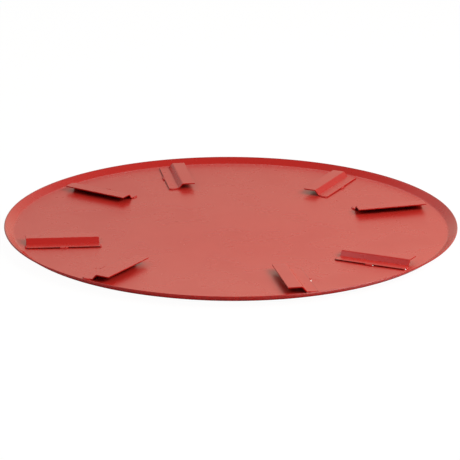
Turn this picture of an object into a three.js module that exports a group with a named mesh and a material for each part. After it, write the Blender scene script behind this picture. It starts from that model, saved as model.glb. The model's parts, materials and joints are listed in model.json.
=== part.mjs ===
// A float pan for a power trowel: a round sheet-steel pan that the trowel carries under its blades
// to float fresh concrete. One plate is pressed into a shallow dish with a turned-up rim. Eight
// folded Z clips are welded to its floor in four facing pairs, so that a blade can slide under a
// clip whichever way the rotor turns. Each clip is held by three short weld beads.
// Millimetres, +Z up, origin at the middle of the underside, clip pairs on the X and Y axes.
import * as THREE from "three";

// ---- Pan ----
const PAN_DIAMETER = 940; // over the lip
const PAN_SHEET = 3;
const FLAT_RADIUS = 140; // the middle of the floor is truly flat
const DISH_RISE = 7.2; // floor's rise from the flat middle to the rim bend
const RIM_RUN = 19; // plan width of the rim, from the bend to the lip
const RIM_ANGLE = 36; // degrees above level
const RIM_BEND_RADIUS = 9; // inside radius of the soft bend
const LIP_EDGE_RADIUS = 0.8; // both edges of the lip's end face are broken by this much

// ---- Clips ----
const CLIP_PAIRS = 4;
const CLIP_LENGTH = 148;
const CLIP_SHEET = 2.5;
const BASE_FLANGE = 21; // welded flange, from its free edge to the foot of the web
const WEB_RUN = 9; // sideways lean of the web
const BLADE_GAP = 10.4; // clear height under the upper flange
const TOP_FLANGE = 27.7; // upper flange, from the top of the web to its free edge
const CLIP_BEND_RADIUS = 2.5; // inside radius of both folds
const CLIP_SPLAY = 19.8; // degrees that a clip opens away from the pair's axis, going outwards
const CLIP_TO_BEND = 11; // from the base flange's outermost corner to the rim bend
const CLIP_ASIDE = 227; // from the pair's axis to the same corner

// ---- Weld beads ----
const MID_WELD_LENGTH = 18.5;
const END_WELD_LENGTH = 15;
const WELD_LEG = 3.2; // width of a bead on the floor
const WELD_HEIGHT = 2.6;
const WELD_TAPER = 2.2; // length of a bead's rounded end
const WELD_SHRINK = 0.7; // how much a bead's section draws in at its ends

// ---- Clearance between pieces that touch ----
const SEAT_GAP = 0.3;

// ---- Fineness of round shapes ----
const ROUND_STEPS = 96;
const DISH_STEPS = 6;
const RIM_BEND_STEPS = 4;
const LIP_STEPS = 2;
const CLIP_BEND_STEPS = 3;
const WELD_STEPS = 2;

const radians = THREE.MathUtils.degToRad;
const vec2 = (x, y) => new THREE.Vector2(x, y);

// Point at this distance from another, in a direction given by its angle.
function stepped(from, angle, distance) {
  return vec2(Math.cos(angle), Math.sin(angle)).multiplyScalar(distance).add(from);
}

// ---- Materials ----
const PAINT_RED = 0xb4261d;

function paintedSteel(roughness) {
  return new THREE.MeshStandardMaterial({ color: PAINT_RED, roughness, metalness: 0.15 });
}

function piece(name, geometry, material) {
  const mesh = new THREE.Mesh(geometry, material);
  mesh.name = name;
  return mesh;
}

function placed(x, y, z, turnZ, ...children) {
  const group = new THREE.Group();
  group.position.set(x, y, z);
  group.rotation.z = turnZ;
  group.add(...children);
  return group;
}

// Extrudes an outline in the XZ plane along Y, centred on Y = 0.
function extrudedAlongY(shape, length, bevel) {
  const options = { depth: length, steps: 1, bevelEnabled: false, ...bevel };
  const geometry = new THREE.ExtrudeGeometry(shape, options).rotateX(Math.PI / 2);
  return geometry.translate(0, length / 2, 0);
}

// ---- Floor of the pan ----
const bendCorner = PAN_DIAMETER / 2 - RIM_RUN; // radius where floor and rim would meet unrounded
const dishRun = bendCorner - FLAT_RADIUS;
const dishCurvature = (2 * DISH_RISE) / dishRun ** 2;

// Height of the floor's upper face above the middle of the underside, and its slope there.
function floorHeight(radius) {
  const past = Math.max(0, radius - FLAT_RADIUS);
  return PAN_SHEET + (dishCurvature * past ** 2) / 2;
}

function floorSlope(radius) {
  return dishCurvature * Math.max(0, radius - FLAT_RADIUS);
}

// Upper face of the plate from the flat's edge to the end of the rim bend, as points with the angle
// of slope there, and the lip's point where its broken edge begins.
function upperFace() {
  const slopeAtBend = Math.atan(floorSlope(bendCorner));
  const rim = radians(RIM_ANGLE);
  const tangent = RIM_BEND_RADIUS * Math.tan((rim - slopeAtBend) / 2);
  const dishEnd = bendCorner - tangent * Math.cos(slopeAtBend);
  const face = [];
  for (let i = 0; i <= DISH_STEPS; i++) {
    const radius = FLAT_RADIUS + ((dishEnd - FLAT_RADIUS) * i) / DISH_STEPS;
    face.push({ at: vec2(radius, floorHeight(radius)), angle: Math.atan(floorSlope(radius)) });
  }
  const corner = vec2(bendCorner, floorHeight(bendCorner));
  const centre = stepped(stepped(corner, slopeAtBend, -tangent), slopeAtBend + Math.PI / 2, RIM_BEND_RADIUS);
  for (let i = 1; i <= RIM_BEND_STEPS; i++) {
    const angle = slopeAtBend + ((rim - slopeAtBend) * i) / RIM_BEND_STEPS;
    face.push({ at: stepped(centre, angle - Math.PI / 2, RIM_BEND_RADIUS), angle });
  }
  // The plate's lower lip edge reaches out furthest, to half the pan's diameter.
  const brokenBy = LIP_EDGE_RADIUS * (Math.cos(rim) + Math.sin(rim) - 1);
  const lipRadius = PAN_DIAMETER / 2 - PAN_SHEET * Math.sin(rim) + brokenBy;
  const lip = stepped(corner, rim, (lipRadius - corner.x) / Math.cos(rim) - LIP_EDGE_RADIUS);
  return { face, lip, rim };
}

// Quarter circle that breaks one edge of the lip's end face.
function brokenEdge(centre, from) {
  const arc = [];
  for (let i = 0; i <= LIP_STEPS; i++) {
    arc.push(stepped(centre, from + ((Math.PI / 2) * i) / LIP_STEPS, LIP_EDGE_RADIUS));
  }
  return arc;
}

// The pressed pan, turned as one closed profile: underside out, round the lip, upper face back in.
function panGeometry() {
  const { face, lip, rim } = upperFace();
  const lower = face.map(({ at, angle }) => stepped(at, angle - Math.PI / 2, PAN_SHEET));
  const upper = face.map(({ at }) => at).reverse();
  const down = rim - Math.PI / 2;
  const lowerEdge = brokenEdge(stepped(lip, down, PAN_SHEET - LIP_EDGE_RADIUS), down);
  const upperEdge = brokenEdge(stepped(lip, down, LIP_EDGE_RADIUS), rim);
  const profile = [vec2(0, 0), ...lower, ...lowerEdge, ...upperEdge, ...upper, vec2(0, PAN_SHEET)];
  return new THREE.LatheGeometry(profile, ROUND_STEPS).rotateX(Math.PI / 2);
}

// ---- Clips ----
// Outline of sheet folded along a centre line, with the same inside radius at every fold.
function foldedSheet(line, sheet, insideRadius) {
  const left = [];
  const right = [];
  const add = (at, angle) => {
    left.push(stepped(at, angle + Math.PI / 2, sheet / 2));
    right.unshift(stepped(at, angle - Math.PI / 2, sheet / 2));
  };
  const stretch = (i) => line[i + 1].clone().sub(line[i]);
  const turnAt = (i) => Math.atan2(stretch(i - 1).cross(stretch(i)), stretch(i - 1).dot(stretch(i)));
  const foldRadius = insideRadius + sheet / 2;
  add(line[0], stretch(0).angle());
  for (let i = 1; i < line.length - 1; i++) {
    const turn = turnAt(i);
    const before = stretch(i - 1).angle();
    const toCentre = (Math.sign(turn) * Math.PI) / 2;
    const start = stepped(line[i], before, -foldRadius * Math.tan(Math.abs(turn) / 2));
    const centre = stepped(start, before + toCentre, foldRadius);
    for (let k = 0; k <= CLIP_BEND_STEPS; k++) {
      const angle = before + (turn * k) / CLIP_BEND_STEPS;
      add(stepped(centre, angle - toCentre, foldRadius), angle);
    }
  }
  add(line.at(-1), stretch(line.length - 2).angle());
  return new THREE.Shape([...right, ...left]);
}

// Z clip: its underside is z = 0 and the base flange's free edge is x = 0; it opens towards +x.
function clipGeometry() {
  const lean = Math.atan2(BLADE_GAP, WEB_RUN);
  const shift = (CLIP_SHEET / 2) * Math.tan(lean / 2); // the centre line's corners, past the upper face's
  const low = CLIP_SHEET / 2;
  const high = BLADE_GAP + CLIP_SHEET / 2;
  const line = [
    vec2(0, low),
    vec2(BASE_FLANGE + shift, low),
    vec2(BASE_FLANGE + WEB_RUN + shift, high),
    vec2(BASE_FLANGE + WEB_RUN + TOP_FLANGE, high),
  ];
  return extrudedAlongY(foldedSheet(line, CLIP_SHEET, CLIP_BEND_RADIUS), CLIP_LENGTH);
}

// ---- Weld beads ----
// A fillet bead along Y, lying against the plane x = 0 and reaching out to +x, its foot at z = 0.
function beadGeometry(length) {
  const outline = new THREE.Shape();
  outline.moveTo(0, 0);
  outline.lineTo(WELD_LEG, 0);
  outline.quadraticCurveTo(WELD_LEG, WELD_HEIGHT, 0, WELD_HEIGHT);
  return extrudedAlongY(outline, length - 2 * WELD_TAPER, {
    curveSegments: 4,
    bevelEnabled: true,
    bevelThickness: WELD_TAPER,
    bevelSize: WELD_SHRINK,
    bevelOffset: -WELD_SHRINK,
    bevelSegments: WELD_STEPS,
  });
}

// ---- One clip with its beads, standing on the dished floor ----
// side is +1 for the clip anticlockwise of its pair's axis and -1 for the clockwise one.
function clipSeat(side) {
  const yaw = -side * radians(90 - CLIP_SPLAY); // direction of the clip's +x in the pair's frame
  const cornerOut = Math.sqrt((bendCorner - CLIP_TO_BEND) ** 2 - CLIP_ASIDE ** 2);
  const corner = vec2(cornerOut, side * CLIP_ASIDE);
  const edgeMiddle = stepped(corner, yaw - (side * Math.PI) / 2, CLIP_LENGTH / 2);
  const { x, y } = stepped(edgeMiddle, yaw, BASE_FLANGE / 2);
  const radius = Math.hypot(x, y);
  const bearing = Math.atan2(y, x);
  return { radius, bearing, turn: yaw - bearing };
}

// The flange is flat and the floor is dished, so the flange stands on its ends, one gap clear.
const clipLift = SEAT_GAP + (dishCurvature * (CLIP_LENGTH / 2) ** 2) / 2;

// Height of the floor in the clip's own frame, under the point (across, along) of that frame.
function floorUnderClip(seat, across, along) {
  const fromMiddle = across - BASE_FLANGE / 2;
  const outwards = fromMiddle * Math.cos(seat.turn) - along * Math.sin(seat.turn);
  const sideways = fromMiddle * Math.sin(seat.turn) + along * Math.cos(seat.turn);
  const radius = Math.hypot(seat.radius + outwards, sideways);
  const tangentPlane = floorHeight(seat.radius) + floorSlope(seat.radius) * outwards;
  return floorHeight(radius) - tangentPlane - clipLift;
}

function clipWithWelds(number, side) {
  const seat = clipSeat(side);
  const bead = (name, length, across, along, turn) => {
    const height = floorUnderClip(seat, across, along) + SEAT_GAP;
    const mesh = piece(`${name}_${number}`, beadGeometry(length), paintedSteel(0.35));
    const away = placed(SEAT_GAP, 0, 0, 0, mesh);
    return placed(across - BASE_FLANGE / 2, along, height, turn, away);
  };
  const clip = piece(`blade_clip_${number}`, clipGeometry(), paintedSteel(0.32));
  clip.position.x = -BASE_FLANGE / 2;
  const outerEnd = (side * CLIP_LENGTH) / 2;
  const endMiddle = (BASE_FLANGE - CLIP_BEND_RADIUS) / 2;
  const standing = placed(0, 0, 0, seat.turn,
    clip,
    bead("middle_weld", MID_WELD_LENGTH, 0, 0, Math.PI),
    bead("outer_weld", END_WELD_LENGTH, endMiddle, outerEnd, (side * Math.PI) / 2),
    bead("inner_weld", END_WELD_LENGTH, endMiddle, -outerEnd, (-side * Math.PI) / 2),
  );
  const tilted = new THREE.Group();
  tilted.position.set(seat.radius, 0, floorHeight(seat.radius));
  tilted.rotation.y = -Math.atan(floorSlope(seat.radius));
  tilted.add(placed(0, 0, clipLift, 0, standing));
  return placed(0, 0, 0, seat.bearing, tilted);
}

// ---- The whole pan ----
const floatPan = new THREE.Group();
floatPan.add(piece("pan_disc", panGeometry(), paintedSteel(0.3)));
for (let pair = 0; pair < CLIP_PAIRS; pair++) {
  const turn = (2 * Math.PI * pair) / CLIP_PAIRS;
  floatPan.add(placed(0, 0, 0, turn, clipWithWelds(2 * pair + 1, -1), clipWithWelds(2 * pair + 2, 1)));
}

export default floatPan;
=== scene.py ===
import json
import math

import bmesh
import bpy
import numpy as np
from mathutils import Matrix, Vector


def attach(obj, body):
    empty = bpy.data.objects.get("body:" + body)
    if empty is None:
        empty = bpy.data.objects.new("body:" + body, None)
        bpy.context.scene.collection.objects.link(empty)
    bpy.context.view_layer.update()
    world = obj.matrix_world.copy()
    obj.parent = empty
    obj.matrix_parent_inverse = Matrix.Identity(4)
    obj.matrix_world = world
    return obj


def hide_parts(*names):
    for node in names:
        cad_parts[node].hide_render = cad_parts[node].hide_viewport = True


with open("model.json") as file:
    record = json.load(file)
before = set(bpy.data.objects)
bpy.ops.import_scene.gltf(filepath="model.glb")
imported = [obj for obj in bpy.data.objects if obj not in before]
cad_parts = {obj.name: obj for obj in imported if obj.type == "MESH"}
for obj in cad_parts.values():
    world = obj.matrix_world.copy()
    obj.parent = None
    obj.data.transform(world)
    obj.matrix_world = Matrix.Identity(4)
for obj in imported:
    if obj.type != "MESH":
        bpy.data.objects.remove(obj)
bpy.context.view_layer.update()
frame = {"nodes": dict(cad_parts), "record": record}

# %% [markdown]
# # A float pan for a power trowel
# A power trowel smooths fresh concrete with four turning blades. For the first passes the blades
# would sink in, so the machine stands on a float pan: one round steel plate, pressed into a very
# shallow dish, with its rim turned up so that it never digs in. Eight folded Z clips are welded to
# the floor in facing pairs, and the blades slide under them. The whole weldment is sprayed red.
# This lesson makes each of those pieces as fine mesh around the plain CAD solids, then the paint,
# the light and the camera. All sizes are metres, in the CAD model's own frame.

MM = 0.001
HAIR = 0.01 * MM  # points closer than this count as level or in line
SETTLING_ROUNDS = 30  # enough for a formula that feeds on its own answer
mounts = {mount["name"]: mount for mount in frame["record"]["mounts"]}


def node_points(name):
    """The vertices of a CAD node, in the part's frame."""
    return np.array([vertex.co[:] for vertex in frame["nodes"][name].data.vertices])


# %% [markdown]
# ## Reading the pan's shape back from the CAD
# The CAD pan is turned from one profile, so a single cut holds everything there is to know. The
# points of the cut that form its lower hull are the underside, and the others are the upper face.
# Four numbers describe that face: the flat middle, the curvature of the dish, and the angle and
# inside radius of the rim's bend. A new profile drawn from them can be as fine as we like and still
# be the same pan.

# %% The pan's section
def turn(a, b):
    return a[0] * b[1] - a[1] * b[0]


def section_faces():
    """The cut at bearing 0 as (radius, height) points: underside and upper face, from the axis out."""
    points = node_points("pan_disc")
    cut = points[(abs(points[:, 1]) < HAIR) & (points[:, 0] > -HAIR)]
    cut = np.unique(np.round(cut[:, [0, 2]], 6), axis=0)
    lower = []
    for point in cut:
        while len(lower) > 1 and turn(lower[-1] - lower[-2], point - lower[-1]) <= 0:
            lower.pop()
        lower.append(point)
    under = {tuple(point) for point in lower}
    return lower, np.array([point for point in cut if tuple(point) not in under])


underside, upper_face = section_faces()
plate = upper_face[0][1]
flat_radius = upper_face[1][0]
dish_curvature = 2 * (upper_face[2][1] - plate) / (upper_face[2][0] - flat_radius) ** 2
pan_radius = max(point[0] for point in underside)
print(f"plate {plate / MM:.2f} mm, flat middle {flat_radius / MM:.1f} mm in radius")
print(f"lip {pan_radius / MM:.1f} mm in radius")


def floor_height(radius):
    past = max(0.0, radius - flat_radius)
    return plate + dish_curvature * past ** 2 / 2


def floor_slope(radius):
    return dish_curvature * max(0.0, radius - flat_radius)


# %% The rim's bend
LONG_STRETCH = 5 * MM  # the rim is the last stretch of the profile that is longer than this

stretches = np.diff(upper_face, axis=0)
rim_stretch = np.nonzero(np.hypot(*stretches.T) > LONG_STRETCH)[0][-1]
bend_end = upper_face[rim_stretch]
rim_angle = math.atan2(stretches[rim_stretch][1], stretches[rim_stretch][0])
bend_corner = bend_end[0]
for _ in range(SETTLING_ROUNDS):  # slide down the rim's line until it meets the floor
    bend_corner = bend_end[0] - (bend_end[1] - floor_height(bend_corner)) / math.tan(rim_angle)
bend_slope = math.atan(floor_slope(bend_corner))
bend_tangent = (bend_end[0] - bend_corner) / math.cos(rim_angle)
bend_radius = bend_tangent / math.tan((rim_angle - bend_slope) / 2)
print(f"rim {math.degrees(rim_angle):.1f} degrees")
print(f"bend {bend_radius / MM:.1f} mm at {bend_corner / MM:.1f} mm")

# %% [markdown]
# ## Small helpers for meshes
# Every piece is built point by point and carries one extra number on each vertex, `edge`. It is 0
# on open faces and up to 1 on cut edges, and the paint material uses the number to darken them.
# On the clips' cuts that is a trace of thin paint, as sprayed paint pulls away from sharp edges; the
# lip's end face is darkened all round; on the base flanges' free edges it is painted shadow of the
# gap under the flange. Storing it on the mesh costs nothing and gives no noise in the render.

# %% Mesh helpers
def new_piece(name, bm, slot, *cad_nodes):
    """Turns a bmesh into a piece that stands for CAD nodes; the slot argument is not used."""
    bmesh.ops.recalc_face_normals(bm, faces=bm.faces)
    mesh = bpy.data.meshes.new(name)
    bm.to_mesh(mesh)
    bm.free()
    mesh.polygons.foreach_set("use_smooth", [True] * len(mesh.polygons))
    piece = bpy.data.objects.new(name, mesh)
    bpy.context.scene.collection.objects.link(piece)
    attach(piece, "root")
    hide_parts(*cad_nodes)
    return piece


def join_rings(bm, rings):
    """Faces between each pair of neighbouring rings of vertices."""
    count = len(rings[0])
    for one, two in zip(rings, rings[1:]):
        for i in range(count):
            k = (i + 1) % count
            bm.faces.new((one[i], one[k], two[k], two[i]))


# %% [markdown]
# ## The pan
# The plate is pressed and its rim is spun up, so it is one surface of revolution with a constant
# thickness. A lathe of the profile is the natural way to make it: the upper face out to the lip, the
# lip's end face with both edges broken, and the underside back. Real plate is never a perfect
# surface of revolution. Pressing and welding leave it wavy, more so towards the lip, where it is
# a few tenths of a millimetre out. That is why its sheen is not quite even, so the rings are
# lifted by a slow wave with no seam.

# %% The pan's fine profile
LIP_EDGE_RADIUS = 0.8 * MM
FLAT_RINGS = 10
DISH_RINGS = 44
BEND_RINGS = 12
RIM_RINGS = 6
LIP_RINGS = 4


def stepped(point, angle, distance):
    return np.array(point) + distance * np.array((math.cos(angle), math.sin(angle)))


def fine_upper_face():
    """(radius, height), slope angle, from the first ring off the axis to where the lip's edge begins."""
    dish_end = bend_corner - bend_tangent * math.cos(bend_slope)
    flat = [flat_radius * i / FLAT_RINGS for i in range(1, FLAT_RINGS + 1)]
    dish = [flat_radius + (dish_end - flat_radius) * i / DISH_RINGS for i in range(1, DISH_RINGS + 1)]
    face = [((r, floor_height(r)), math.atan(floor_slope(r))) for r in flat + dish]
    corner = (bend_corner, floor_height(bend_corner))
    start = stepped(corner, bend_slope, -bend_tangent)
    centre = stepped(start, bend_slope + math.pi / 2, bend_radius)
    for i in range(1, BEND_RINGS + 1):
        angle = bend_slope + (rim_angle - bend_slope) * i / BEND_RINGS
        face.append((stepped(centre, angle - math.pi / 2, bend_radius), angle))
    # rounding the lip's edges would pull its outermost point in by this much
    broken = LIP_EDGE_RADIUS * (math.cos(rim_angle) + math.sin(rim_angle) - 1)
    lip_radius = pan_radius - plate * math.sin(rim_angle) + broken
    rim_length = (lip_radius - bend_corner) / math.cos(rim_angle) - LIP_EDGE_RADIUS
    for i in range(1, RIM_RINGS + 1):
        along = bend_tangent + (rim_length - bend_tangent) * i / RIM_RINGS
        face.append((stepped(corner, rim_angle, along), rim_angle))
    return face


def broken_edge(centre, start_angle):
    """A quarter circle round one edge of the lip."""
    turns = [start_angle + math.pi / 2 * i / LIP_RINGS for i in range(LIP_RINGS + 1)]
    return [stepped(centre, angle, LIP_EDGE_RADIUS) for angle in turns]


face = fine_upper_face()
down = rim_angle - math.pi / 2
lip = face[-1][0]
lip_outline = broken_edge(stepped(lip, down, plate - LIP_EDGE_RADIUS), down)
lip_outline += broken_edge(stepped(lip, down, LIP_EDGE_RADIUS), rim_angle)
profile = [stepped(point, angle - math.pi / 2, plate) for point, angle in face[:-1]]
profile += lip_outline
profile += [np.array(point) for point, _ in reversed(face[:-1])]
on_lip = range(len(face) - 1, len(face) - 1 + len(lip_outline))
print(f"profile of {len(profile)} points, lip top at {max(p[1] for p in profile) / MM:.2f} mm")

# %% The pan's mesh
PAN_SIDES = 240
PLATE_WAVE = 0.09 * MM
LIP_WAVE = 0.25 * MM


def plate_wave(radius, bearing):
    """How far the plate is out of true: nothing in the flat middle, most at the lip."""
    reach = max(0.0, radius - flat_radius) / (pan_radius - flat_radius)
    slow = math.sin(3 * bearing + 0.6) + 0.6 * math.sin(5 * bearing + 9 * reach + 2.1)
    quick = math.sin(8 * bearing - 14 * reach) * math.sin(11 * reach + 1.3)
    return PLATE_WAVE * reach * (slow + quick) + LIP_WAVE * reach ** 6 * math.sin(2 * bearing + 1.0)


def make_pan():
    bm = bmesh.new()
    edge = bm.verts.layers.float.new("edge")
    rings = []
    for number, (radius, height) in enumerate(profile):
        ring = []
        for side in range(PAN_SIDES):
            bearing = 2 * math.pi * side / PAN_SIDES
            lifted = height + plate_wave(radius, bearing)
            vertex = bm.verts.new((radius * math.cos(bearing), radius * math.sin(bearing), lifted))
            vertex[edge] = float(number in on_lip)
            ring.append(vertex)
        rings.append(ring)
    join_rings(bm, rings)
    for ring, height in ((rings[0], 0.0), (rings[-1], plate)):
        middle = bm.verts.new((0, 0, height))
        for side in range(PAN_SIDES):
            bm.faces.new((middle, ring[side], ring[(side + 1) % PAN_SIDES]))
    return new_piece("pan_plate", bm, "pan_paint", "pan_disc")


pan = make_pan()
print(f"pan: {len(pan.data.polygons)} faces")

# %% [markdown]
# ## Where each clip stands
# The record names the underside of every clip's upper flange as a mount, with its outward normal.
# That gives the clip's up direction. The vertices of an extruded solid spread most along its
# length, so the main axis of their scatter is the clip's length. The two fix the clip's own frame:
# x across, from the base flange's free edge towards the open side, y along, z up, with its origin
# on the underside of that free edge, halfway along.

# %% Clip frames
CLIPS = range(1, 9)


def clip_frame(number):
    points = node_points(f"blade_clip_{number}")
    seat = mounts[f"blade_seat_{number}"]
    up = -Vector(seat["axis"]).normalized()
    centre = points.mean(axis=0)
    spread = np.linalg.eigh(np.cov((points - centre).T))[1][:, -1]
    along = Vector(spread)
    along = (along - up * along.dot(up)).normalized()
    across = along.cross(up)
    if across.dot(Vector(seat["pos_m"]) - Vector(centre)) < 0:
        along, across = -along, -across
    turned = Matrix((across, along, up)).transposed().to_4x4()
    local = points @ np.array(turned.to_3x3())
    low, high = local.min(axis=0), local.max(axis=0)
    origin = turned @ Vector((low[0], (low[1] + high[1]) / 2, low[2]))
    return Matrix.Translation(origin) @ turned


def in_frame(name, placed):
    """A CAD node's vertices in a clip's own frame."""
    back = placed.inverted()
    return np.array([(back @ Vector(point))[:] for point in node_points(name)])


clip_frames = {number: clip_frame(number) for number in CLIPS}
print("clip 1 stands at", [round(x / MM, 1) for x in clip_frames[1].translation])

# %% [markdown]
# ## The clips
# Each clip is a strip of sheet folded twice, up and then level again. Its fold radius and the
# widths of its flanges say everything, so the section is drawn as a centre line with rounded
# corners and given its thickness on both sides. The web's lean follows from the rise and the run
# between the folds: the rounder the folds, the steeper the web, and a few rounds of putting the
# angle back into its own formula settle it. The base flange's free edge lies against the floor, so
# it gets the full edge darkening as painted shadow of the thin gap under it, except on the one clip
# whose free edge faces the key light; the other cuts get only a trace of wear.

# %% The clip's section
FOLD_RADIUS = 2.5 * MM  # inside the fold
FOLD_STEPS = 10
EDGE_BAND = 1.2 * MM  # how far thin paint reaches in from a cut edge
section_points = in_frame("blade_clip_1", clip_frames[1])
across_all, height_all = section_points[:, 0], section_points[:, 2]
clip_length = float(np.ptp(section_points[:, 1]))
clip_width = float(across_all.max())
clip_height = float(height_all.max())
clip_sheet = float(height_all[across_all < HAIR].max())
fold_start = float(across_all[height_all < HAIR].max())
fold_end = float(across_all[height_all > clip_height - HAIR].min())
rise = clip_height - clip_sheet
centre_radius = FOLD_RADIUS + clip_sheet / 2
lean = math.atan2(rise, fold_end - fold_start)
for _ in range(SETTLING_ROUNDS):
    lean = math.atan2(rise, fold_end - fold_start - 2 * centre_radius * math.tan(lean / 2))
print(f"clip {clip_length / MM:.0f} mm long, sheet {clip_sheet / MM:.1f} mm")
print(f"web leans {math.degrees(lean):.1f} degrees")


def centre_line():
    """((across, height), angle) along the middle of the folded sheet."""
    middle = clip_sheet / 2
    line = [((x, middle), 0.0) for x in (0.0, EDGE_BAND, fold_start / 2)]
    low_centre = (fold_start, middle + centre_radius)
    high_centre = (fold_end, middle + rise - centre_radius)
    for i in range(FOLD_STEPS + 1):
        angle = lean * i / FOLD_STEPS
        line.append((stepped(low_centre, angle - math.pi / 2, centre_radius), angle))
    for i in range(FOLD_STEPS + 1):
        angle = lean * (1 - i / FOLD_STEPS)
        line.append((stepped(high_centre, angle + math.pi / 2, centre_radius), angle))
    flange_middle = (fold_end + clip_width) / 2
    line += [((x, middle + rise), 0.0) for x in (flange_middle, clip_width - EDGE_BAND, clip_width)]
    return line


# %% Clip meshes
EDGE_RADIUS = 0.45 * MM
FREE_EDGE_LIT_CLIP = 3  # the one clip whose free edge faces the key light, so it gets no painted gap shadow
THIN_ON_CUTS = 0.1  # paint wear on cut edges; the base flange's free edge has 1, painted gap shadow
LENGTH_STEPS = 12
SEATED = 0.22 * MM  # how far a clip is let down, into most of the CAD's clearance under its ends


def length_stations():
    """Positions along a clip, with an extra one close to each end for the thin paint there."""
    half = clip_length / 2
    inner = np.linspace(-half + EDGE_BAND, half - EDGE_BAND, LENGTH_STEPS)
    return [-half, *inner, half]


def make_clip(number):
    bm = bmesh.new()
    edge = bm.verts.layers.float.new("edge")
    line = centre_line()
    upper = [stepped(point, angle + math.pi / 2, clip_sheet / 2) for point, angle in line]
    lower = [stepped(point, angle - math.pi / 2, clip_sheet / 2) for point, angle in line]
    outline = lower + upper[::-1]
    edge_wear_and_gap_shade = dict.fromkeys((len(lower) - 1, len(lower)), THIN_ON_CUTS)
    # painted shadow of the gap under the base flange, along its free edge
    if number != FREE_EDGE_LIT_CLIP:
        edge_wear_and_gap_shade.update(dict.fromkeys((0, len(outline) - 1), 1.0))
    stations = length_stations()
    rings = []
    for station in stations:
        at_end = station in (stations[0], stations[-1])
        ring = []
        for i, (x, z) in enumerate(outline):
            vertex = bm.verts.new(clip_frames[number] @ Vector((x, station, z - SEATED)))
            vertex[edge] = max(edge_wear_and_gap_shade.get(i, 0.0), THIN_ON_CUTS * at_end)
            ring.append(vertex)
        rings.append(ring)
    join_rings(bm, rings)
    for ring in (rings[0], rings[-1]):  # the sheet's end faces, one quad for each step of the section
        for i in range(len(lower) - 1):
            bm.faces.new((ring[i], ring[i + 1], ring[-2 - i], ring[-1 - i]))
    clip = new_piece(f"clip_{number}", bm, "clip_paint", f"blade_clip_{number}")
    rounding = clip.modifiers.new("broken_edges", "BEVEL")
    rounding.width = EDGE_RADIUS
    rounding.segments = 3
    rounding.limit_method = "ANGLE"
    rounding.angle_limit = math.radians(50)
    even = clip.modifiers.new("even_shading", "WEIGHTED_NORMAL")
    even.keep_sharp = False
    return clip


clips = {number: make_clip(number) for number in CLIPS}
print(f"{len(clips)} clips of {len(clips[1].data.polygons)} faces before their edges are broken")

# %% [markdown]
# ## The weld beads
# A short bead holds each clip at the middle of its free edge and at both ends. Weld metal freezes
# in a row of overlapping puddles, so the bead is a fillet whose size swells and dips along its
# length, and each ripple is bowed, because the puddle's middle freezes last. The CAD bead gives
# the place, the length and the legs. The fine bead also fills the CAD's clearance, so that it
# runs into the plate and the clip as fused metal does. The last puddle shrinks to a crater, where
# paint chips off first: each vertex also carries a number, `bare`, that is 1 where it has.

# %% Bead shape
RIPPLE = 2.3 * MM  # from one frozen puddle to the next
RIPPLE_DEPTH = 0.14
RIPPLE_BOW = 0.8 * MM
BEAD_STEPS = 64
BEAD_ARC = 9
BEAD_RISE = {"middle_weld": 1.05, "outer_weld": 0.86, "inner_weld": 0.86}  # of the CAD height
FUSED = 0.35 * MM  # how far the bead runs past the CAD bead, towards and into what it joins
CRATER = 2.0 * MM  # length of the last puddle, measured from the bead's end
CHIPPED = ("middle_weld_1", "outer_weld_1", "middle_weld_8", "outer_weld_8")  # beads bare at the crater
BEAD_KINDS = ("middle_weld", "outer_weld", "inner_weld")
BEAD_SCATTER = 0.06  # how much one bead differs in size from the next
RIPPLE_MEAN = 0.6  # about the mean of the ripple wave, so that ripples leave the size alone
BEAD_FULLNESS = 0.8  # below 1 the section bulges outside a quarter ellipse
BLUNTNESS = 5  # the higher, the longer a bead keeps its size before its round ends
bead_dice = np.random.default_rng(11)


def swell(share):
    """Size of the bead's section along it: blunt round ends, level between them."""
    return math.sqrt(max(0.0, 1 - abs(2 * share - 1) ** BLUNTNESS))


def bead_station(share, run, leg, height, offset):
    """The bead's outline at one place along it, as (outward, height) points."""
    points = [(-FUSED, -FUSED), (leg * swell(share) - FUSED, -FUSED)]
    for i in range(BEAD_ARC + 1):
        angle = math.pi / 2 * i / BEAD_ARC
        phase = (run + offset + RIPPLE_BOW * math.sin(2 * angle)) / RIPPLE
        ripple = abs(math.sin(math.pi * phase)) - RIPPLE_MEAN
        size = swell(share) * (1 + RIPPLE_DEPTH * ripple)
        outward = leg * size * math.cos(angle) ** BEAD_FULLNESS
        upward = height * size * math.sin(angle) ** BEAD_FULLNESS
        points.append((outward - FUSED * math.sin(angle), upward))
    return points


# %% [markdown]
# ## Spatter
# Welding throws out drops of molten steel that stick to the floor beside the bead and are painted
# over. A few flattened balls, sunk almost halfway into the plate, lie beside each middle bead.

# %% Spatter
SPATTER_RADIUS = (0.45 * MM, 0.85 * MM)
SPATTER_REACH = (5 * MM, 16 * MM)
SPATTER_BESIDE = 12 * MM  # to either side of the bead's middle
SPATTER_DROPS = 5
SPATTER_SINK = 0.15  # the drop's centre above the floor, as a share of its radius
SPATTER_FLATNESS = 0.8


def add_spatter(bm, placed, foot, middle):
    """Drops on the floor in front of a clip's free edge, scattered round the bead's middle."""
    for _ in range(SPATTER_DROPS):
        radius = bead_dice.uniform(*SPATTER_RADIUS)
        away = bead_dice.uniform(*SPATTER_REACH)
        beside = bead_dice.uniform(-SPATTER_BESIDE, SPATTER_BESIDE)
        spot = placed @ Vector((middle.x - away, middle.y + beside, foot))
        level = floor_height(math.hypot(spot.x, spot.y)) + SPATTER_SINK * radius
        flattened = Matrix.Scale(SPATTER_FLATNESS, 4, (0, 0, 1))
        at = Matrix.Translation((spot.x, spot.y, level)) @ flattened
        bmesh.ops.create_icosphere(bm, subdivisions=2, radius=radius, matrix=at)


# %% Bead meshes
END_TRIM = 0.012  # a bead's round ends close to nothing, so the mesh stops just short of them


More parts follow.
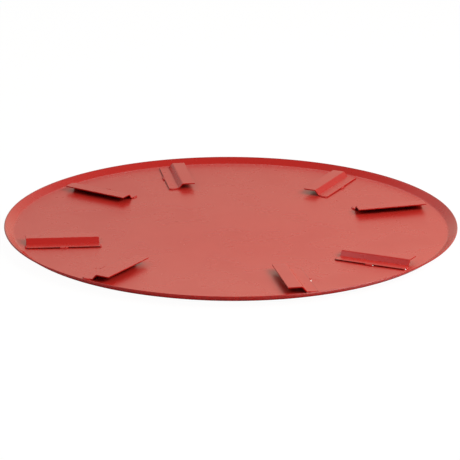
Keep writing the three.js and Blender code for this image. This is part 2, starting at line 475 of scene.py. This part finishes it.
def bead_directions(kind, solid, placed):
    """Away from the clip, and along the bead towards its crater, in the clip's frame."""
    if kind == "middle_weld":
        outward = Vector((-1, 0, 0))
    else:  # outer and inner ends swap with the way that the clip faces
        outward = Vector((0, math.copysign(1, solid[:, 1].mean()), 0))
    along = Vector((-outward.y, outward.x, 0))
    if kind == "middle_weld":  # laid from the inside of the pan towards the rim
        backwards = (placed @ along).xy.length < (placed @ -along).xy.length
    else:  # laid from the web towards the free edge
        backwards = along.x > 0
    return outward, -along if backwards else along


def make_bead(kind, number):
    placed = clip_frames[number]
    solid = in_frame(f"{kind}_{number}", placed)
    chipped = f"{kind}_{number}" in CHIPPED
    outward, along = bead_directions(kind, solid, placed)
    reach = solid @ np.array(outward)
    run = solid @ np.array(along)
    foot, length = float(solid[:, 2].min()), float(np.ptp(run))
    leg, height = float(np.ptp(reach)), BEAD_RISE[kind] * float(np.ptp(solid[:, 2]))
    grow = 1 + BEAD_SCATTER * bead_dice.uniform(-1, 1)
    offset = bead_dice.uniform(0, RIPPLE)
    bm = bmesh.new()
    bm.verts.layers.float.new("edge")
    bare = bm.verts.layers.float.new("bare")
    rings = []
    for step in range(BEAD_STEPS + 1):
        share = END_TRIM + (1 - 2 * END_TRIM) * step / BEAD_STEPS
        at = float(run.min()) + share * length
        ring = []
        for out, up in bead_station(share, at, leg * grow, height * grow, offset):
            local = outward * (float(reach.min()) + out) + along * at + Vector((0, 0, foot + up))
            vertex = bm.verts.new(placed @ local)
            vertex[bare] = float(chipped and (1 - share) * length < CRATER)
            ring.append(vertex)
        rings.append(ring)
    join_rings(bm, rings)
    bm.faces.new(rings[0])
    bm.faces.new(reversed(rings[-1]))
    if kind == "middle_weld":
        free_edge = Vector((float(reach.min()) * outward.x, float(solid[:, 1].mean()), 0))
        add_spatter(bm, placed, foot, free_edge)
    return new_piece(f"{kind}_bead_{number}", bm, "weld_paint", f"{kind}_{number}")


beads = [make_bead(kind, number) for kind in BEAD_KINDS for number in CLIPS]
print(f"{len(beads)} weld beads of {len(beads[-1].data.polygons)} faces, and their spatter")

# %% [markdown]
# ## Paint effects as node groups
# One sprayer painted everything, so the same effects show on plate, folded sheet and weld metal,
# only stronger or weaker. Each effect is a node group with named inputs, built once: the fine
# orange peel of a sprayed film, slow patches where the film is thicker or thinner, darkening at
# cut edges (thin film, and painted shadow of the gap under the clips' free edges), a pale pink
# layer on faces that look up (overspray dust and a painted sheen towards the rim), and painted
# shade on faces that look down. The groups put out only heights, masks and colours. The shader
# itself stays in each material.

# %% Node group helpers
def start_group(name, inputs, outputs):
    """A shader node group with named sockets, and its input and output nodes."""
    group = bpy.data.node_groups.new(name, "ShaderNodeTree")
    for label, kind, default in inputs:
        socket = group.interface.new_socket(label, in_out="INPUT", socket_type=kind)
        if default is not None:
            socket.default_value = default
    for label, kind in outputs:
        group.interface.new_socket(label, in_out="OUTPUT", socket_type=kind)
    return group, group.nodes.new("NodeGroupInput"), group.nodes.new("NodeGroupOutput")


def put(tree, kind, values=(), **settings):
    """A new node, with its properties set by name and its input values by (socket, value) pairs."""
    node = tree.nodes.new(kind)
    for key, value in settings.items():
        setattr(node, key, value)
    for socket, value in dict(values).items():
        node.inputs[socket].default_value = value
    return node


def sums(tree, operation, first, second):
    """A math node; each term is a socket or a number."""
    node = put(tree, "ShaderNodeMath", operation=operation)
    for socket, term in zip(node.inputs, (first, second)):
        if isinstance(term, (int, float)):
            socket.default_value = term
        else:
            tree.links.new(term, socket)
    return node.outputs[0]


def noise(tree, position, size, detail=2.0, roughness=0.5):
    """Noise whose blobs have a real size: a socket or metres."""
    node = put(tree, "ShaderNodeTexNoise", {"Detail": detail, "Roughness": roughness})
    tree.links.new(position, node.inputs["Vector"])
    tree.links.new(sums(tree, "DIVIDE", 1.0, size), node.inputs["Scale"])
    return node.outputs["Fac"]


# %% Orange peel
def orange_peel_group():
    """Height of a sprayed film: fine peel on top of slow levelling waves, in metres."""
    group, given, result = start_group(
        "orange_peel",
        [("Position", "NodeSocketVector", None), ("Peel Size", "NodeSocketFloat", 0.004),
         ("Peel Depth", "NodeSocketFloat", 0.00001), ("Wave Size", "NodeSocketFloat", 0.03),
         ("Wave Depth", "NodeSocketFloat", 0.00001)],
        [("Height", "NodeSocketFloat")],
    )
    peel = noise(group, given.outputs["Position"], given.outputs["Peel Size"], detail=1.0)
    wave = noise(group, given.outputs["Position"], given.outputs["Wave Size"], detail=1.0)
    peel_height = sums(group, "MULTIPLY", peel, given.outputs["Peel Depth"])
    wave_height = sums(group, "MULTIPLY", wave, given.outputs["Wave Depth"])
    group.links.new(sums(group, "ADD", peel_height, wave_height), result.inputs["Height"])
    return group


orange_peel = orange_peel_group()

# %% Film patches, thin edges and painted gap shadow
def paint_film_group():
    """The film's colour: full, thin where the patches say so, and darkened on cut edges, with painted gap
    shadow on the clips' free edges.
    """
    group, given, result = start_group(
        "paint_film",
        [("Position", "NodeSocketVector", None), ("Edge", "NodeSocketFloat", 0.0),
         ("Full Color", "NodeSocketColor", None), ("Thin Color", "NodeSocketColor", None),
         ("Edge Color", "NodeSocketColor", None), ("Patch Size", "NodeSocketFloat", 0.12),
         ("Edge Strength", "NodeSocketFloat", 0.5)],
        [("Color", "NodeSocketColor"), ("Thinness", "NodeSocketFloat")],
    )
    patch = noise(group, given.outputs["Position"], given.outputs["Patch Size"], detail=4.0, roughness=0.55)
    spread = put(group, "ShaderNodeMapRange", {"From Min": 0.35, "From Max": 0.68})
    group.links.new(patch, spread.inputs["Value"])
    film = put(group, "ShaderNodeMix", data_type="RGBA")
    group.links.new(spread.outputs["Result"], film.inputs["Factor"])
    group.links.new(given.outputs["Full Color"], film.inputs["A"])
    group.links.new(given.outputs["Thin Color"], film.inputs["B"])
    broken = noise(group, given.outputs["Position"], 6 * MM, detail=3.0, roughness=0.6)
    ragged = put(group, "ShaderNodeMapRange", {"From Min": 0.20, "From Max": 0.55})
    group.links.new(broken, ragged.inputs["Value"])
    # wear on cut edges, and painted shadow of the gap under the clips' free edges
    worn_and_gap_shaded = sums(group, "MULTIPLY", ragged.outputs["Result"], given.outputs["Edge"])
    worn_and_gap_shaded = sums(group, "MULTIPLY", worn_and_gap_shaded, given.outputs["Edge Strength"])
    colour = put(group, "ShaderNodeMix", data_type="RGBA")
    group.links.new(worn_and_gap_shaded, colour.inputs["Factor"])
    group.links.new(film.outputs["Result"], colour.inputs["A"])
    group.links.new(given.outputs["Edge Color"], colour.inputs["B"])
    group.links.new(colour.outputs["Result"], result.inputs["Color"])
    group.links.new(sums(group, "MAXIMUM", spread.outputs["Result"], worn_and_gap_shaded), result.inputs["Thinness"])
    return group


paint_film = paint_film_group()

# %% Haze and painted sheen
def haze_and_sheen_group():
    """Overspray dust and a painted sheen: none in the middle, most towards the rim, only on faces that look
    up.
    """
    group, given, result = start_group(
        "haze_and_sheen",
        [("Position", "NodeSocketVector", None), ("Normal", "NodeSocketVector", None),
         ("Clear Radius", "NodeSocketFloat", 0.06), ("Full Radius", "NodeSocketFloat", 0.36),
         ("Amount", "NodeSocketFloat", 0.1)],
        [("Mask", "NodeSocketFloat")],
    )
    across = put(group, "ShaderNodeVectorMath", operation="MULTIPLY")
    across.inputs[1].default_value = (1, 1, 0)
    group.links.new(given.outputs["Position"], across.inputs[0])
    radius = put(group, "ShaderNodeVectorMath", operation="LENGTH")
    group.links.new(across.outputs["Vector"], radius.inputs[0])
    outer = put(group, "ShaderNodeMapRange", interpolation_type="SMOOTHSTEP")
    group.links.new(radius.outputs["Value"], outer.inputs["Value"])
    group.links.new(given.outputs["Clear Radius"], outer.inputs["From Min"])
    group.links.new(given.outputs["Full Radius"], outer.inputs["From Max"])
    facing = put(group, "ShaderNodeSeparateXYZ")
    group.links.new(given.outputs["Normal"], facing.inputs["Vector"])
    upward = put(group, "ShaderNodeMapRange", {"From Min": 0.75, "From Max": 0.98})
    group.links.new(facing.outputs["Z"], upward.inputs["Value"])
    cloud = noise(group, given.outputs["Position"], 90 * MM, detail=5.0, roughness=0.6)
    grain = noise(group, given.outputs["Position"], 2.5 * MM)
    cloud_share = sums(group, "MULTIPLY", cloud, 0.9)
    grain_share = sums(group, "MULTIPLY", grain, 0.6)
    cloudy = sums(group, "ADD", cloud_share, grain_share)
    mask = sums(group, "MULTIPLY", outer.outputs["Result"], upward.outputs["Result"])
    mask = sums(group, "MULTIPLY", mask, cloudy)
    mask = sums(group, "MULTIPLY", mask, given.outputs["Amount"])
    group.links.new(mask, result.inputs["Mask"])
    return group


haze_and_sheen = haze_and_sheen_group()

# %% [markdown]
# ## Painted shade under the clips
# The undersides of the clips and the backs of their webs get only what light bounces in, so their
# colour is darkened there towards a dark brown as painted shade. The mask below is 0 on faces that
# look up and rises as a face turns down.

# %% Painted shade on faces that look down
BORDER_RAGGED = 0.3  # most that noise adds to the upward part of a face's direction
SHADE_STARTS_AT = 0.05  # where that sum stands where no shade is painted
SHADE_DARKEST_AT = -0.45  # and where the painted shade is darkest


def underside_shade_group():
    """Painted shade: a mask for faces that look down, with a ragged border."""
    group, given, result = start_group(
        "underside_shade",
        [("Position", "NodeSocketVector", None), ("Normal", "NodeSocketVector", None),
         ("Amount", "NodeSocketFloat", 0.8)],
        [("Mask", "NodeSocketFloat")],
    )
    facing = put(group, "ShaderNodeSeparateXYZ")
    group.links.new(given.outputs["Normal"], facing.inputs["Vector"])
    cloud = noise(group, given.outputs["Position"], 12 * MM, detail=3.0, roughness=0.6)
    ragged = sums(group, "MULTIPLY", cloud, BORDER_RAGGED)
    height = sums(group, "ADD", facing.outputs["Z"], ragged)
    reach = {"From Min": SHADE_STARTS_AT, "From Max": SHADE_DARKEST_AT}
    downward = put(group, "ShaderNodeMapRange", reach)
    group.links.new(height, downward.inputs["Value"])
    mask = sums(group, "MULTIPLY", downward.outputs["Result"], given.outputs["Amount"])
    group.links.new(mask, result.inputs["Mask"])
    return group


underside_shade = underside_shade_group()
print("node groups:", [group.name for group in bpy.data.node_groups])

# %% [markdown]
# ## The red paint
# The finish is an air-dried machine enamel: a strong red with the gloss of a film that was sprayed
# quickly. Seen flat on it is pure red. Seen at a low angle, as the floor of the pan always is, the
# film's surface mirrors the pale surroundings and the red turns to salmon. That comes from the
# shader's own reflection, so the colour below is the pure red. Folded sheet has more peel than the
# big plate, and weld metal has the most.

# %% Paint colours
RED = (0.700, 0.0170, 0.0115, 1)
THIN_RED = (0.665, 0.0160, 0.0105, 1)
# edge darkening: thin paint on cuts and the lip, and painted gap shadow on the clips' free edges
EDGE_WEAR_AND_SHADE_RED = (0.150, 0.0095, 0.0090, 1)
# painted shade: the colour that faces looking down are darkened to
PAINTED_SHADE_BROWN = (0.070, 0.0120, 0.0120, 1)
# dust and painted sheen: pale pink laid over faces that look up, towards the rim
HAZE_AND_SHEEN_PINK = (0.66, 0.33, 0.26, 1)
BARE_STEEL = (0.80, 0.77, 0.74, 1)
THIN_DULLS = 0.05  # roughness that thin film adds
HAZE_DULLS = 0.3
BARE_SHINES = 0.10  # roughness that bare metal takes away


def over(tree, mask, below, above):
    """The colour above laid over the one below, where the mask says."""
    layer = put(tree, "ShaderNodeMix", data_type="RGBA")
    tree.links.new(mask, layer.inputs["Factor"])
    tree.links.new(below, layer.inputs["A"])
    layer.inputs["B"].default_value = above
    return layer.outputs["Result"]


# %% Paint materials
def painted_steel(name, gloss, peel, edges, haze_and_sheen_amount, painted_shade, chipped=False):
    """Red enamel: gloss roughness, peel depth, and how strong each effect is."""
    material = bpy.data.materials.new(name)
    material.use_nodes = True
    tree = material.node_tree
    tree.nodes.clear()
    shader = put(tree, "ShaderNodeBsdfPrincipled", {"IOR": 1.5})
    surface = put(tree, "ShaderNodeOutputMaterial")
    tree.links.new(shader.outputs["BSDF"], surface.inputs["Surface"])
    place = put(tree, "ShaderNodeTexCoord").outputs["Object"]
    facing = put(tree, "ShaderNodeNewGeometry").outputs["Normal"]

    film = put(tree, "ShaderNodeGroup", node_tree=paint_film)
    film.inputs["Full Color"].default_value = RED
    film.inputs["Thin Color"].default_value = THIN_RED
    film.inputs["Edge Color"].default_value = EDGE_WEAR_AND_SHADE_RED
    film.inputs["Edge Strength"].default_value = edges
    tree.links.new(place, film.inputs["Position"])
    cut_edge = put(tree, "ShaderNodeAttribute", attribute_name="edge")
    tree.links.new(cut_edge.outputs["Fac"], film.inputs["Edge"])
    # painted shade on faces that look down
    shade_below = put(tree, "ShaderNodeGroup", node_tree=underside_shade)
    shade_below.inputs["Amount"].default_value = painted_shade
    # overspray dust and painted sheen on faces that look up
    haze_and_sheen_node = put(tree, "ShaderNodeGroup", node_tree=haze_and_sheen)
    haze_and_sheen_node.inputs["Amount"].default_value = haze_and_sheen_amount
    for effect in (shade_below, haze_and_sheen_node):
        tree.links.new(place, effect.inputs["Position"])
        tree.links.new(facing, effect.inputs["Normal"])
    colour = over(tree, shade_below.outputs["Mask"], film.outputs["Color"], PAINTED_SHADE_BROWN)
    colour = over(tree, haze_and_sheen_node.outputs["Mask"], colour, HAZE_AND_SHEEN_PINK)
    duller = sums(tree, "MULTIPLY", film.outputs["Thinness"], THIN_DULLS)
    dusty = sums(tree, "MULTIPLY", haze_and_sheen_node.outputs["Mask"], HAZE_DULLS)
    duller = sums(tree, "ADD", duller, dusty)
    roughness = sums(tree, "ADD", duller, gloss)
    if chipped:
        bare = put(tree, "ShaderNodeAttribute", attribute_name="bare").outputs["Fac"]
        colour = over(tree, bare, colour, BARE_STEEL)
        roughness = sums(tree, "SUBTRACT", roughness, sums(tree, "MULTIPLY", bare, BARE_SHINES))
        tree.links.new(bare, shader.inputs["Metallic"])
    tree.links.new(colour, shader.inputs["Base Color"])
    tree.links.new(roughness, shader.inputs["Roughness"])

    skin = put(tree, "ShaderNodeGroup", node_tree=orange_peel)
    skin.inputs["Peel Depth"].default_value = peel
    tree.links.new(place, skin.inputs["Position"])
    bump = put(tree, "ShaderNodeBump", {"Strength": 1.0, "Distance": 1.0})
    tree.links.new(skin.outputs["Height"], bump.inputs["Height"])
    tree.links.new(bump.outputs["Normal"], shader.inputs["Normal"])
    return material


pan_paint = painted_steel(
    "pan_paint", gloss=0.24, peel=0.002 * MM, edges=0.35, haze_and_sheen_amount=0.07, painted_shade=0.0)
clip_paint = painted_steel(
    "clip_paint", gloss=0.24, peel=0.003 * MM, edges=0.9, haze_and_sheen_amount=0.05, painted_shade=0.85)
weld_paint = painted_steel(
    "weld_paint", gloss=0.22, peel=0.006 * MM, edges=0.0, haze_and_sheen_amount=0.0, painted_shade=0.0, chipped=True)
pan.data.materials.append(pan_paint)
for clip in clips.values():
    clip.data.materials.append(clip_paint)
for bead in beads:
    bead.data.materials.append(weld_paint)
print("paints:", [material.name for material in (pan_paint, clip_paint, weld_paint)])

# %% [markdown]
# ## The studio
# The pan lies on a plain pale floor, which the camera sees as pure white. A big soft key light
# stands to the right, a small cool panel to the left shows in the folds, and a weak panel stands
# behind. The room is a ring of low walls, dark in front and pale behind, under a darker ceiling.
# The ring matters most: at this low angle the pan's floor mirrors the wall behind it.

# %% Floor
FLOOR_HALF = 6.0  # metres from the middle to a side
PAPER = (0.86, 0.86, 0.86, 1)
FLOOR_GLOW = 0.93  # how much of the paper's own colour the camera sees replaced by white
GLOW_STRENGTH = 1.04


def make_floor():
    bm = bmesh.new()
    bmesh.ops.create_grid(bm, x_segments=8, y_segments=8, size=FLOOR_HALF)
    mesh = bpy.data.meshes.new("studio_floor")
    bm.to_mesh(mesh)
    bm.free()
    floor = bpy.data.objects.new("studio_floor", mesh)
    bpy.context.scene.collection.objects.link(floor)
    paper = bpy.data.materials.new("studio_paper")
    paper.use_nodes = True
    tree = paper.node_tree
    tree.nodes.clear()
    matt = put(tree, "ShaderNodeBsdfDiffuse", {"Color": PAPER})
    glow = put(tree, "ShaderNodeEmission", {"Color": (1, 1, 1, 1), "Strength": GLOW_STRENGTH})
    seen = put(tree, "ShaderNodeLightPath").outputs["Is Camera Ray"]
    blend = put(tree, "ShaderNodeMixShader")
    surface = put(tree, "ShaderNodeOutputMaterial")
    tree.links.new(sums(tree, "MULTIPLY", seen, FLOOR_GLOW), blend.inputs["Fac"])
    tree.links.new(matt.outputs["BSDF"], blend.inputs[1])
    tree.links.new(glow.outputs["Emission"], blend.inputs[2])
    tree.links.new(blend.outputs["Shader"], surface.inputs["Surface"])
    mesh.materials.append(paper)
    return floor


print("floor:", make_floor().name)

# %% Room and lights
LOW_WALLS = [  # from in front of the pan (0) to behind it (1)
    (0.00, (0.04, 0.04, 0.04)),
    (0.50, (0.34, 0.35, 0.37)),
    (0.88, (0.60, 0.56, 0.50)),
    (0.99, (0.92, 0.80, 0.63)),
]
BRIGHT_WALL = 82  # bearing in degrees of the brightest part of the low walls
CEILING = [  # from level (0) to straight up (1)
    (0.30, (0.72, 0.70, 0.65)),
    (0.56, (0.46, 0.42, 0.39)),
    (0.80, (0.32, 0.27, 0.25)),
    (1.00, (0.26, 0.21, 0.19)),
]
WALL_TOP = (0.35, 0.70)  # between these heights the walls turn into the ceiling


def band_ramp(tree, along, bands):
    """A colour ramp over one direction of a look, with (position, colour) bands."""
    ramp = put(tree, "ShaderNodeValToRGB")
    elements = ramp.color_ramp.elements
    while len(elements) < len(bands):
        elements.new(0.5)
    for element, (position, colour) in zip(elements, bands):
        element.position = position
        element.color = (*colour, 1)
    tree.links.new(along, ramp.inputs["Fac"])
    return ramp.outputs["Color"]


def make_room():
    """Low walls that are dark in front and warm and pale behind, under a darker ceiling."""
    world = bpy.data.worlds.new("studio_room")
    world.use_nodes = True
    tree = world.node_tree
    tree.nodes.clear()
    way = put(tree, "ShaderNodeTexCoord").outputs["Generated"]
    look = put(tree, "ShaderNodeSeparateXYZ")
    tree.links.new(way, look.inputs["Vector"])
    towards = put(tree, "ShaderNodeVectorMath", operation="DOT_PRODUCT")
    tree.links.new(way, towards.inputs[0])
    bright = math.radians(BRIGHT_WALL)
    towards.inputs[1].default_value = (math.cos(bright), math.sin(bright), 0)
    front_to_back = sums(tree, "ADD", sums(tree, "MULTIPLY", towards.outputs["Value"], 0.5), 0.5)
    height = put(tree, "ShaderNodeMapRange", interpolation_type="SMOOTHSTEP")
    height.inputs["From Min"].default_value, height.inputs["From Max"].default_value = WALL_TOP
    tree.links.new(look.outputs["Z"], height.inputs["Value"])
    room = put(tree, "ShaderNodeMix", data_type="RGBA")
    tree.links.new(height.outputs["Result"], room.inputs["Factor"])
    tree.links.new(band_ramp(tree, front_to_back, LOW_WALLS), room.inputs["A"])
    tree.links.new(band_ramp(tree, look.outputs["Z"], CEILING), room.inputs["B"])
    backdrop = put(tree, "ShaderNodeBackground")
    surface = put(tree, "ShaderNodeOutputWorld")
    tree.links.new(room.outputs["Result"], backdrop.inputs["Color"])
    tree.links.new(backdrop.outputs["Background"], surface.inputs["Surface"])
    bpy.context.scene.world = world


def softbox(name, bearing, elevation, distance, width, height, watts, colour):
    """A rectangular soft light that looks at the middle of the pan, from a bearing in degrees."""
    lamp = bpy.data.lights.new(name, "AREA")
    lamp.shape = "RECTANGLE"
    lamp.size, lamp.size_y = width, height
    lamp.energy = watts
    lamp.color = colour
    box = bpy.data.objects.new(name, lamp)
    turn_round, lift = math.radians(bearing), math.radians(elevation)
    level = math.cos(lift)
    flat_x, flat_y = math.cos(turn_round) * level, math.sin(turn_round) * level
    box.location = distance * Vector((flat_x, flat_y, math.sin(lift)))
    box.rotation_euler = (-box.location).to_track_quat("-Z", "Y").to_euler()
    bpy.context.scene.collection.objects.link(box)
    return box


make_room()
key = softbox(
    "key_softbox", bearing=346, elevation=43, distance=2.6, width=2.0, height=1.2,
    watts=39, colour=(1.0, 0.97, 0.92))
side = softbox(
    "side_panel", bearing=205, elevation=50, distance=3.0, width=0.8, height=0.9,
    watts=5, colour=(0.93, 0.97, 1.0))
back = softbox(
    "back_panel", bearing=99, elevation=42, distance=3.0, width=1.8, height=0.9,
    watts=6, colour=(1.0, 0.97, 0.90))
print("lights:", key.name, side.name, back.name)

# %% [markdown]
# ## The camera
# A long lens from about four metres flattens the pan into an ellipse: the eye is eighteen degrees
# above the floor, and nine degrees round from the line that joins the front and back pairs of clips.

# %% Camera
CAMERA_TURN = 9.08  # degrees anticlockwise from straight in front
CAMERA_LIFT = 18.24  # degrees above level
CAMERA_ROLL = 0.19  # degrees
CAMERA_AWAY = 3.832
LENS = 143.5  # focal length and sensor width in millimetres
SENSOR = 36
FARTHEST = 50  # nothing beyond this many metres is drawn
AIM_DROP = 5.4 * MM  # the pan sits a little above the middle of the frame
AIM_LEFT = 1.65 * MM


def make_camera():
    lens = bpy.data.cameras.new("camera")
    lens.lens = LENS
    lens.sensor_width = SENSOR
    lens.clip_end = FARTHEST
    camera = bpy.data.objects.new("camera", lens)
    bearing, lift = math.radians(CAMERA_TURN - 90), math.radians(CAMERA_LIFT)
    middle = Vector((0, 0, plate))
    level = math.cos(lift)
    outward = Vector((math.cos(bearing) * level, math.sin(bearing) * level, math.sin(lift)))
    camera.location = middle + outward * CAMERA_AWAY
    view = (-outward).to_track_quat("-Z", "Y").to_matrix()
    turned = view @ Matrix.Rotation(math.radians(CAMERA_ROLL), 3, "Z")
    camera.rotation_euler = turned.to_euler()
    camera.location -= view.col[1] * AIM_DROP + view.col[0] * AIM_LEFT
    bpy.context.scene.collection.objects.link(camera)
    bpy.context.scene.camera = camera
    return camera


camera = make_camera()
bpy.context.scene.view_settings.view_transform = "Standard"
print("camera at", [round(x, 3) for x in camera.location])
